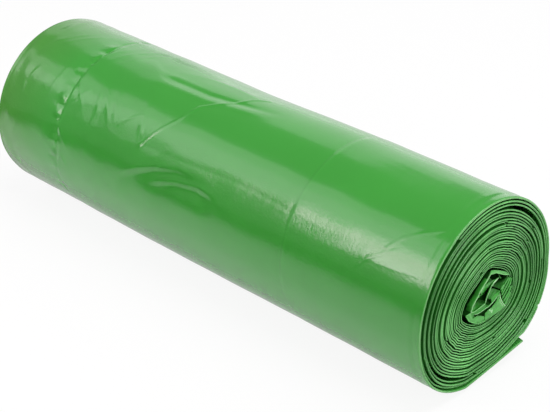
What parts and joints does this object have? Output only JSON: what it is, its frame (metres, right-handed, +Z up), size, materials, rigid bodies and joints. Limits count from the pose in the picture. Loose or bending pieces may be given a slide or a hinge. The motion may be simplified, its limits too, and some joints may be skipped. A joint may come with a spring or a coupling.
{
  "type": "bin bag roll",
  "caption": "Coreless roll of folded bin bags lying on its side, with wound turns and a crumpled hollow at its ends and a free end near the floor.",
  "frame": {"origin": "on the floor under the middle of the roll", "axes": "+X along the roll, +Z up, +Y towards the tip of the free end"},
  "size_m": [0.35, 0.1114, 0.1103],
  "materials": {
    "film": "glossy"
  },
  "bodies": {
    "root": {"bag_roll": "film"}
  },
  "joints": []
}
